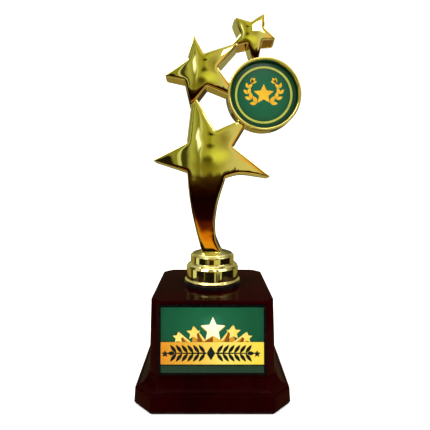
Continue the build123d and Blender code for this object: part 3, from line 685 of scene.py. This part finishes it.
def mirrored(angle, side):
    """An angle drawn for the right side (1), or its mirror image for the left (-1)."""
    return angle if side > 0 else pi - angle


def print_piece(name, outlines, to_front, body, material, thick=PRINT_THICK):
    """Flat printed shapes with a little thickness. to_front maps (across, up, lift off the face) to space."""
    verts, faces = [], []
    for outline in outlines:
        start, n = len(verts), len(outline)
        verts += [to_front(u, v, thick) for u, v in outline]
        verts += [to_front(u, v, 0.0) for u, v in outline]
        faces.append(tuple(range(start, start + n)))
        faces.append(tuple(range(start + 2 * n - 1, start + n - 1, -1)))
        faces += [(start + i, start + (i + 1) % n, start + n + (i + 1) % n, start + n + i) for i in range(n)]
    obj = new_object(name, verts, faces, PRINT_SMOOTH)
    fix_normals(obj)
    obj.data.materials.append(material)
    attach(obj, body)
    return obj


def ring_outlines(radius, width, pieces):
    """A ring as four-cornered outlines laid end to end."""
    out = []
    for k in range(pieces):
        a, b = 2 * pi * k / pieces, 2 * pi * (k + 1) / pieces
        near, far = radius - width / 2, radius + width / 2
        out.append([(near * cos(a), near * sin(a)), (far * cos(a), far * sin(a)),
                    (far * cos(b), far * sin(b)), (near * cos(b), near * sin(b))])
    return out


def sprig(side):
    """Leaf pairs along an oval arc and a leaf at its tip: one side of the disc's wreath."""
    out = []
    middle_x, middle_y = SPRIG_MIDDLE
    across, upright = SPRIG_OVAL
    first, last = SPRIG_SPAN
    length, width = SPRIG_LEAF
    for k in range(SPRIG_PAIRS):
        share = k / (SPRIG_PAIRS - 1)
        a = first + (last - first) * share
        x, y = middle_x + side * across * cos(a), middle_y + upright * sin(a)
        for lean, size in SPRIG_LEANS:
            taper = size * (1 - SPRIG_TAPER * share)
            angle = mirrored(a + pi / 2 + lean, side)
            out.append(leaf_points(x, y, angle, length * taper, width * taper))
    tip_length, tip_width = SPRIG_TIP
    out.append(leaf_points(x, y, mirrored(last + pi / 2, side), length * tip_length, width * tip_width))
    return out


def medallion_print(inks):
    """The disc's ring line and emblem: a star between two laurel sprigs."""
    face_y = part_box("insert_disc")[0].y / MM
    mx, mz = MEDAL_CENTRE

    def to_front(u, v, lift):
        return (mx + u, face_y - lift, mz + v)

    ring = ring_outlines(*DISC_RING, DISC_RING_PIECES)
    print_piece("disc_ring_line", ring, to_front, "figure", inks["disc_ring_print"])
    emblem = [star_points(*DISC_STAR)] + sprig(-1) + sprig(1)
    print_piece("disc_emblem", emblem, to_front, "figure", inks["disc_yellow_print"])


def plate_front():
    """Maps (across, up, lift) on the name plate's leaning front face to space."""
    co = np.array([v.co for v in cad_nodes["label_plate"].data.vertices]) / MM
    top = co[co[:, 2] > co[:, 2].max() - PLATE_EDGE]
    low = co[co[:, 2] < co[:, 2].min() + PLATE_EDGE]
    top, low = top[top[:, 1].argmin()], low[low[:, 1].argmin()]
    up = np.array([0.0, top[1] - low[1], top[2] - low[2]])
    up /= np.linalg.norm(up)
    off = np.array([0.0, -up[2], up[1]])
    middle = np.array([0.0, (top[1] + low[1]) / 2, (top[2] + low[2]) / 2])

    def to_front(u, v, lift):
        return tuple(middle + np.array([u, 0.0, 0.0]) + up * v + off * lift)

    return to_front


def tail_outlines(star, end):
    """The side behind a printed star: all of it, its lit upper edge, and the shadow by the star."""
    cx, cy, radius = star
    side = 1 if end[0] > cx else -1

    def across(share):
        return cx + side * share * radius

    def point(share_out, share_up):
        return across(share_out), cy + share_up * radius

    whole = [point(*TAIL_TOP), end, (end[0], BAND_HIGH), (across(TAIL_FOOT), BAND_HIGH), (cx, cy)]
    lit = [point(*LIT_TOP), end, (end[0] - side * LIT_END_WIDTH, end[1]), point(*LIT_FOOT)]
    outer, inner = SHADE_BOTTOM
    shadow = [point(*SHADE_TOP), (across(outer), BAND_HIGH), (across(inner), BAND_HIGH), point(*SHADE_FOOT)]
    return whole, lit, shadow


def label_print(inks):
    """The plate's artwork, laid down from the lowest layer up: a fan of stars over a band with leaves."""
    to_front = plate_front()
    edge = PLATE_HALF_WIDTH
    x, y, radius = BIG_STAR
    drop, shrink = BIG_STAR_EDGE
    tails, tails_lit, tails_shadow = zip(*[tail_outlines(star, end) for star, end in SIDE_STARS])
    layers = [
        ("fan_tails", "fan_amber_print", tails),
        ("fan_tails_lit", "fan_pale_print", tails_lit),
        ("fan_tails_shadow", "fan_shade_print", tails_shadow),
        ("fan_big_shadow", "fan_shade_print", [BIG_SHADOW]),
        ("fan_big_tail", "fan_gold_print", [BIG_TAIL]),
        ("fan_side_stars", "fan_pale_print", [star_points(*star) for star, _ in SIDE_STARS]),
        ("fan_big_edge", "fan_gold_print", [star_points(x, y - drop, radius)]),
        ("fan_big_star", "fan_white_print", [star_points(x, y, radius * shrink)]),
        ("band_shadow", "band_shadow_print", [rectangle(-edge, BAND_LOW - BAND_SHADOW, edge, BAND_HIGH)]),
        ("gold_band", "band_gold_print", [rectangle(-edge, BAND_LOW, edge, BAND_HIGH)]),
        ("band_end_stars", "band_dark_print", [star_points(*star) for star in BAND_STARS]),
        ("band_ornament", "band_dark_print", ornament_outlines()),
    ]
    for level, (name, ink, outlines) in enumerate(layers):
        thick = PRINT_THICK + level * LAYER_RISE
        print_piece(name, outlines, to_front, "plinth", inks[ink], thick)


def ornament_outlines():
    """The band's leaf pairs, their stalks and the diamond between them."""
    middle_y = (BAND_LOW + BAND_HIGH) / 2
    wide, high = DIAMOND_HALF
    thick, thin = STALK_HALF_WIDTHS
    out = [[(ORNAMENT_X - wide, middle_y), (ORNAMENT_X, middle_y - high), (ORNAMENT_X + wide, middle_y),
            (ORNAMENT_X, middle_y + high)]]
    for side in (-1, 1):
        for k in range(PAIR_COUNT):
            x = ORNAMENT_X + side * (PAIR_START + PAIR_PITCH * k)
            for lean in (-1, 1):
                angle = mirrored(lean * PAIR_LEAN, side)
                out.append(leaf_points(x, middle_y + lean * PAIR_GAP, angle, *PAIR_LEAF))
        out.append(leaf_points(ORNAMENT_X + side * END_LEAF_START, middle_y, mirrored(0.0, side), *END_LEAF))
        start, end = (ORNAMENT_X + side * reach for reach in STALK_SPAN)
        out.append([(start, middle_y - thick), (end, middle_y - thin), (end, middle_y + thin),
                    (start, middle_y + thick)])
    return out


# ---------------------------------------------------------------- materials


def start_material(name):
    """A new node material: returns it with its node tree and its shader."""
    mat = bpy.data.materials.new(name)
    mat.use_nodes = True
    tree = mat.node_tree
    return mat, tree, tree.nodes["Principled BSDF"]


def feed(tree, node, inputs):
    """Fills a node's inputs with plain values, or with links where the value is another node's output."""
    for key, value in inputs.items():
        if isinstance(value, bpy.types.NodeSocket):
            tree.links.new(value, node.inputs[key])
        else:
            node.inputs[key].default_value = value
    return node


def new_node(tree, kind, inputs, **settings):
    """A new node with its settings and its inputs."""
    node = tree.nodes.new("ShaderNode" + kind)
    for key, value in settings.items():
        setattr(node, key, value)
    return feed(tree, node, inputs)


def object_place(tree):
    """The place of a point in the object's own coordinates, in metres."""
    return new_node(tree, "TexCoord", {}).outputs["Object"]


def noise_node(tree, scale, detail=3.0, stretch=(1, 1, 1)):
    """Noise in the object's own coordinates. scale counts features in a metre."""
    place = new_node(tree, "Mapping", {"Vector": object_place(tree), "Scale": stretch}).outputs["Vector"]
    return new_node(tree, "TexNoise", {"Vector": place, "Scale": scale, "Detail": detail}).outputs["Fac"]


def ramp_node(tree, value, stops, interpolation="LINEAR"):
    """A colour ramp of (position, colour) stops over a value."""
    ramp = new_node(tree, "ValToRGB", {"Fac": value})
    ramp.color_ramp.interpolation = interpolation
    elements = ramp.color_ramp.elements
    while len(elements) > 1:
        elements.remove(elements[-1])
    for i, (position, colour) in enumerate(stops):
        element = elements[0] if i == 0 else elements.new(position)
        element.position = position
        element.color = (*colour, 1.0)
    return ramp.outputs["Color"]


def range_node(tree, value, low, high, source=NOISE_RANGE):
    """A value mapped to run from low to high over the source range, and held level beyond it."""
    start, end = source
    inputs = {"Value": value, "From Min": start, "From Max": end, "To Min": low, "To Max": high}
    return new_node(tree, "MapRange", inputs).outputs["Result"]


def angle_range(tree, angle, limits, first=0.0, last=1.0):
    """A value that runs from first to last while an angle runs between two limits in degrees."""
    return range_node(tree, angle, first, last, source=tuple(map(radians, limits)))


def angle_ramp(tree, angle, limits, stops):
    """Colours over an angle, as (degrees, colour) stops between two limits in degrees."""
    start, end = limits
    shares = [((place - start) / (end - start), colour) for place, colour in stops]
    return ramp_node(tree, angle_range(tree, angle, limits), shares)


def math_node(tree, operation, *values):
    """A sum, product or angle of one or two values, of which the second may be a plain number."""
    return new_node(tree, "Math", dict(enumerate(values)), operation=operation).outputs["Value"]


def mix_node(tree, share, first, second):
    """Blends two colours, of which the second may be a plain colour."""
    inputs = {"Factor": share, "A": first, "B": second}
    return new_node(tree, "Mix", inputs, data_type="RGBA").outputs["Result"]


def length_of(tree, vector):
    """The length of a vector."""
    return new_node(tree, "VectorMath", {0: vector}, operation="LENGTH").outputs["Value"]


def relief(tree, height, strength, depth):
    """Fine relief from a height value, for a shader's normal."""
    inputs = {"Height": height, "Strength": strength, "Distance": depth}
    return new_node(tree, "Bump", inputs).outputs["Normal"]


def varied(name, dark, light, scale, roughness, bumps, metallic=0.0, stretch=(1, 1, 1), gloss=0.5,
           tint=(1, 1, 1)):
    """A material whose colour and roughness drift with noise.

    scale counts features in a metre, and the bumps are (features in a metre, strength, depth in metres).
    """
    mat, tree, shader = start_material(name)
    noise = noise_node(tree, scale, stretch=stretch)
    bump_scale, strength, depth = bumps
    bump_noise = noise_node(tree, bump_scale, detail=2.0, stretch=stretch)
    feed(tree, shader, {
        "Base Color": ramp_node(tree, noise, list(zip(NOISE_RANGE, (dark, light)))),
        "Roughness": range_node(tree, noise, *roughness),
        "Metallic": metallic,
        "Specular IOR Level": gloss,
        "Specular Tint": (*tint, 1.0),
        "Normal": relief(tree, bump_noise, strength, depth),
    })
    return mat


def gold_material():
    """Vacuum-plated mirror gold, with the slow waviness of moulded plastic under it."""
    return varied("mirror_gold", dark=(0.80, 0.69, 0.24), light=(0.88, 0.77, 0.31), scale=45,
                  roughness=(0.015, 0.04), metallic=1.0, bumps=(50, 0.05, 0.002))


def collar_gold_material():
    """The collar's plating, a little softer than the stars'."""
    return varied("mirror_gold_turned", dark=(0.78, 0.67, 0.25), light=(0.88, 0.77, 0.33), scale=60,
                  roughness=(0.05, 0.09), metallic=1.0, bumps=(70, 0.05, 0.002))


def maroon_material():
    """Dark rosewood-coloured plastic: faint vertical streaks under a hard gloss with a red sheen."""
    return varied("rosewood_gloss", dark=(0.0048, 0.0001, 0.0002), light=(0.0120, 0.0002, 0.0004), scale=30,
                  roughness=(0.05, 0.08), bumps=(120, 0.01, 0.0004), stretch=(1, 1, 0.25), gloss=0.022,
                  tint=(1.0, 0.24, 0.27))


def zinc_material():
    """Zinc plating of the rod, pins, washers, nut and screws."""
    return varied("zinc_plate", dark=(0.42, 0.43, 0.42), light=(0.62, 0.63, 0.60), scale=300,
                  roughness=(0.25, 0.4), metallic=1.0, bumps=(1500, 0.05, 0.0002))


def brass_material():
    """Turned brass of the threaded insert."""
    return varied("turned_brass", dark=(0.55, 0.38, 0.12), light=(0.70, 0.50, 0.20), scale=400,
                  roughness=(0.15, 0.3), metallic=1.0, bumps=(900, 0.05, 0.0002))


def iron_material():
    """Rough cast iron of the ballast."""
    return varied("cast_iron", dark=(0.06, 0.06, 0.062), light=(0.13, 0.13, 0.13), scale=350,
                  roughness=(0.5, 0.75), metallic=0.8, bumps=(900, 0.35, 0.0006))


def tape_material():
    """White foam of the double-sided tapes."""
    return varied("tape_foam", dark=(0.70, 0.70, 0.66), light=(0.85, 0.85, 0.80), scale=900,
                  roughness=(0.7, 0.9), bumps=(2500, 0.2, 0.0002))


def rubber_material():
    """Black moulded rubber of the gasket."""
    return varied("gasket_rubber", dark=(0.003, 0.0025, 0.0025), light=(0.007, 0.006, 0.006), scale=200,
                  roughness=(0.16, 0.26), bumps=(700, 0.05, 0.0002), gloss=0.12)


def board_material():
    """Matt black sheet of the bottom board."""
    return varied("board_black", dark=(0.01, 0.01, 0.01), light=(0.03, 0.03, 0.03), scale=500,
                  roughness=(0.4, 0.55), bumps=(2000, 0.1, 0.0002))


def backing_material():
    """Smooth black plastic behind the name plate."""
    return varied("backing_black", dark=(0.0015, 0.0015, 0.0015), light=(0.004, 0.0035, 0.0035), scale=300,
                  roughness=(0.12, 0.2), bumps=(1200, 0.04, 0.0002), gloss=0.06)


def felt_material():
    """Black felt under the base."""
    return varied("felt_fibres", dark=(0.006, 0.006, 0.006), light=(0.03, 0.028, 0.028), scale=2400,
                  roughness=(0.85, 0.98), bumps=(3200, 0.5, 0.0004))


def print_material(name):
    """Printed ink whose tone drifts a little, under a gloss laminate."""
    light, dark = INKS[name]
    return varied(name, dark, light, scale=140, roughness=INK_ROUGHNESS, bumps=(900, 0.04, 0.0002),
                  gloss=INK_GLOSS)


def height_value(tree, axis, low, high):
    """A 0 to 1 value that rises along one axis of the object between two millimetre limits."""
    split = new_node(tree, "SeparateXYZ", {"Vector": object_place(tree)})
    return range_node(tree, split.outputs[axis], 0.0, 1.0, source=(low * MM, high * MM))


def band_material():
    """The band's ink: orange at the left, pale yellow at the right."""
    mat, tree, shader = start_material("band_gold_print")
    across = height_value(tree, "X", -PLATE_HALF_WIDTH, PLATE_HALF_WIDTH)
    feed(tree, shader, {
        "Base Color": ramp_node(tree, across, BAND_TONES),
        "Roughness": range_node(tree, noise_node(tree, BAND_NOISE), *INK_ROUGHNESS),
        "Specular IOR Level": INK_GLOSS,
    })
    return mat


def radial_material(name, centre, radius, stops, plane_scale, strip=None):
    """Print that changes colour outwards from a centre (on the disc the darkest stop at the edge is painted
    shade), with an optional plain strip below a height.

    plane_scale weighs X, Y and Z in the distance. strip is (height in Z, half of its soft edge, colour).
    """
    mat, tree, shader = start_material(name)
    shift = [-c * MM * s for c, s in zip(centre, plane_scale)]
    inputs = {"Vector": object_place(tree), "Location": shift, "Scale": plane_scale}
    far = length_of(tree, new_node(tree, "Mapping", inputs).outputs["Vector"])
    colour = ramp_node(tree, range_node(tree, far, 0.0, 1.0, source=(0.0, radius * MM)), stops, "EASE")
    if strip:
        limit, soft, strip_colour = strip
        below = height_value(tree, "Z", limit + soft, limit - soft)
        colour = mix_node(tree, below, colour, (*strip_colour, 1.0))
    noise = noise_node(tree, CARD_NOISE)
    feed(tree, shader, {
        "Base Color": colour,
        "Roughness": range_node(tree, noise, *CARD_ROUGHNESS),
        "Specular IOR Level": INK_GLOSS,
        "Normal": relief(tree, noise, *CARD_RELIEF),
    })
    return mat


def label_material():
    """The name plate's green ground, bright behind the fan, with a plain strip at the bottom."""
    centre, radius = LABEL_GLOW
    height, soft, tone = LABEL_STRIP
    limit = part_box("label_plate")[0].z / MM + height
    return radial_material("label_green_print", centre, radius, LABEL_TONES, (1.0, 0.0, 1.3),
                           strip=(limit, soft, tone))


def disc_material():
    """The disc's green ground, darker towards its edge: a printed gradient, with painted shade of the cup's
    recess along the very edge.
    """
    mx, mz = MEDAL_CENTRE
    return radial_material("disc_print_and_edge_shade", (mx, 0.0, mz), DISC_RADIUS, DISC_TONES_AND_EDGE_SHADE, (1.0, 0.0, 1.0))


def finish_cad_nodes():
    """Gives every CAD node a procedural finish by its material slot."""
    finishes = {
        "gold_plating": gold_material(),
        "plated_steel": zinc_material(),
        "printed_card": disc_material(),
        "foam_tape": tape_material(),
        "black_rubber": rubber_material(),
        "insert_brass": brass_material(),
        "maroon_lacquer": maroon_material(),
        "board_plastic": board_material(),
        "ballast_iron": iron_material(),
        "black_felt": felt_material(),
        "black_plastic": backing_material(),
        "printed_plate": label_material(),
    }
    for entry in frame["record"]["subparts"]:
        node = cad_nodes[entry["node"]]
        node.data.materials.clear()
        node.data.materials.append(finishes[entry["material_slot"]])
        node.data.polygons.foreach_set("use_smooth", [True] * len(node.data.polygons))
        node.data.set_sharp_from_angle(angle=radians(CAD_SMOOTH))
    return finishes


# ---------------------------------------------------------------- stage, light, camera and room


def add_camera():
    """The camera that took the reference view: level, with its film shifted."""
    data = bpy.data.cameras.new("photo_camera")
    data.lens = CAMERA_LENS
    data.sensor_width = SENSOR_WIDTH
    data.shift_x, data.shift_y = CAMERA_SHIFT
    data.clip_start, data.clip_end = CAMERA_CLIP
    camera = bpy.data.objects.new("photo_camera", data)
    camera.location = [c * MM for c in CAMERA_PLACE]
    camera.rotation_euler = (pi / 2, 0, 0)
    bpy.context.scene.collection.objects.link(camera)
    bpy.context.scene.camera = camera


def add_floor():
    """A pale sweep all round: floor, curve and wall in one sheet. Mirror surfaces don't see it."""
    floor = lathe("pale_sweep", SWEEP_SECTION, (0.0, 0.0), "Z", step=SWEEP_STEP)
    mat, tree, shader = start_material("pale_paper")
    feed(tree, shader, {
        "Base Color": ramp_node(tree, noise_node(tree, PAPER_NOISE), PAPER_TONES),
        "Roughness": PAPER_ROUGHNESS,
        "Emission Color": (1, 1, 1, 1),
        "Emission Strength": PAPER_GLOW,
    })
    floor.data.materials.append(mat)
    floor.visible_glossy = False


def add_area(name, place, aim, size, power):
    """A rectangular softbox that the camera doesn't see."""
    data = bpy.data.lights.new(name, "AREA")
    data.shape = "RECTANGLE"
    data.size, data.size_y = size
    data.energy = power
    light = bpy.data.objects.new(name, data)
    light.location = place
    light.rotation_euler = (Vector(aim) - Vector(place)).to_track_quat("-Z", "Y").to_euler()
    light.visible_camera = False
    bpy.context.scene.collection.objects.link(light)


def banded(tree, azimuth):
    """Upright bands round the horizon, drawn finer in the front, where the faces mirror them large."""
    all_round = angle_ramp(tree, azimuth, ROUND_LIMITS, ROUND_BANDS)
    front = angle_ramp(tree, azimuth, FRONT_LIMITS, FRONT_BANDS)
    in_front = angle_range(tree, math_node(tree, "ABSOLUTE", azimuth), FRONT_END, 1.0, 0.0)
    return mix_node(tree, in_front, all_round, front)


def patched(tree, azimuth, rise, colour, patches):
    """Soft oval patches laid over a colour."""
    for middle, half, soft, patch in patches:
        offsets = {}
        for axis, value, centre, reach in zip("XY", (azimuth, rise), middle, half):
            away = math_node(tree, "SUBTRACT", value, radians(centre))
            offsets[axis] = math_node(tree, "DIVIDE", away, radians(reach))
        gap = new_node(tree, "CombineXYZ", offsets).outputs["Vector"]
        share = range_node(tree, length_of(tree, gap), 1.0, 0.0, source=(1 - soft, 1 + soft))
        colour = mix_node(tree, share, colour, (*patch, 1.0))
    return colour


def room_colour(tree, azimuth, rise):
    """The room above the horizon."""
    walls = patched(tree, azimuth, rise, banded(tree, azimuth), ROOM_PATCHES)
    return mix_node(tree, angle_range(tree, rise, CEILING_RISE), walls, (*CEILING_COLOUR, 1.0))


def table_colour(tree, azimuth, rise):
    """What lies below the horizon: dark with a lit orange strip in front, brown gold behind."""
    front = angle_ramp(tree, rise, TABLE_LIMITS, FRONT_TABLE)
    back = angle_ramp(tree, rise, TABLE_LIMITS, BACK_TABLE)
    side = angle_ramp(tree, rise, TABLE_LIMITS, SIDE_TABLE)
    off_front = math_node(tree, "ABSOLUTE", azimuth)
    front_to_back = mix_node(tree, angle_range(tree, off_front, BEHIND), front, back)
    from_front = angle_range(tree, off_front, SIDE_START)
    to_back = angle_range(tree, off_front, SIDE_END, 1.0, 0.0)
    colour = mix_node(tree, math_node(tree, "MULTIPLY", from_front, to_back), front_to_back, side)
    near_bands = angle_ramp(tree, azimuth, ROUND_LIMITS, NEAR_BANDS)
    near = patched(tree, azimuth, rise, near_bands, NEAR_PATCHES)
    strip_end = angle_range(tree, off_front, STRIP_SPAN, 0.0, radians(STRIP_DROP))
    upper = angle_range(tree, math_node(tree, "SUBTRACT", rise, strip_end), NEAR_TOP, 1.0, 0.0)
    lower = angle_range(tree, rise, NEAR_BOTTOM)
    return mix_node(tree, math_node(tree, "MULTIPLY", upper, lower), colour, near)


def wobbly_azimuth(tree, direction, split):
    """The angle round the horizon, 0 in front, shifted a little by noise as moulded faces would."""
    inputs = {"Vector": direction, "Scale": WOBBLE_SCALE, "Detail": 1.0}
    wobble = new_node(tree, "TexNoise", inputs).outputs["Fac"]
    front = math_node(tree, "MULTIPLY", split.outputs["Y"], -1.0)
    shift = range_node(tree, wobble, -radians(ROUND_WOBBLE), radians(ROUND_WOBBLE))
    return math_node(tree, "ADD", math_node(tree, "ARCTAN2", split.outputs["X"], front), shift)


def below_horizon(tree, azimuth, rise):
    """1 below the table's ragged far edge and 0 above it."""
    inputs = {"W": azimuth, "Scale": RAGGED_SCALE, "Detail": 2.0}
    ragged = new_node(tree, "TexNoise", inputs, noise_dimensions="1D").outputs["Fac"]
    edge = new_node(tree, "SeparateColor", {"Color": angle_ramp(tree, azimuth, FRONT_LIMITS, HORIZON_LINE)})
    line = range_node(tree, edge.outputs["Red"], *map(radians, HORIZON_RISE), source=(0.0, 1.0))
    teeth = range_node(tree, ragged, -radians(RAGGED_HEIGHT), radians(RAGGED_HEIGHT))
    teeth = math_node(tree, "MULTIPLY", teeth, edge.outputs["Green"])
    above = math_node(tree, "SUBTRACT", math_node(tree, "ADD", rise, teeth), line)
    return angle_range(tree, above, (-HORIZON_SOFT, HORIZON_SOFT), 1.0, 0.0)


def add_world():
    """The room that the mirror surfaces show: bands, patches and a table with a ragged far edge."""
    world = bpy.data.worlds.new("soft_room")
    world.use_nodes = True
    bpy.context.scene.world = world
    tree = world.node_tree
    direction = new_node(tree, "TexCoord", {}).outputs["Generated"]
    split = new_node(tree, "SeparateXYZ", {"Vector": direction})
    azimuth = wobbly_azimuth(tree, direction, split)
    rise = math_node(tree, "ARCSINE", split.outputs["Z"])
    room = room_colour(tree, azimuth, rise)
    table = table_colour(tree, azimuth, rise)
    mixed = mix_node(tree, below_horizon(tree, azimuth, rise), room, table)
    feed(tree, tree.nodes["Background"], {"Color": mixed, "Strength": 1.0})


# ---------------------------------------------------------------- build

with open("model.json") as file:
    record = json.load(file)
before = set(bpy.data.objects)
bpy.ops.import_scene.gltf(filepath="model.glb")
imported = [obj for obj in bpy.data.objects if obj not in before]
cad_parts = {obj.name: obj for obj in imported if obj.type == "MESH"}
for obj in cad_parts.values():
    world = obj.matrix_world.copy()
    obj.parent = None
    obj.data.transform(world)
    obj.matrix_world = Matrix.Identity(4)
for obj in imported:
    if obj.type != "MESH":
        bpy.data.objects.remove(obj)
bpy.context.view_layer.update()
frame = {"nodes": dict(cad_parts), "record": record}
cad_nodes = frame["nodes"]

add_camera()
add_floor()
add_world()
for light_row in LIGHTS:
    add_area(*light_row)

finishes = finish_cad_nodes()
figure = star_pieces("lower", LOWER_STAR, LOWER_BALL, upright_below=LOWER_BALL[1])
figure += star_pieces("middle", MIDDLE_STAR, MIDDLE_BALL)
figure += star_pieces("upper", UPPER_STAR, UPPER_BALL)
figure += medallion_pieces()
for piece in figure:
    piece.data.materials.append(finishes["gold_plating"])
collar = collar_piece()
collar.data.materials.append(collar_gold_material())
for piece in plinth_pieces():
    piece.data.materials.append(finishes["maroon_lacquer"])
inks = {name: print_material(name) for name in INKS}
inks["band_gold_print"] = band_material()
medallion_print(inks)
label_print(inks)

bpy.context.scene.view_settings.view_transform = "Standard"
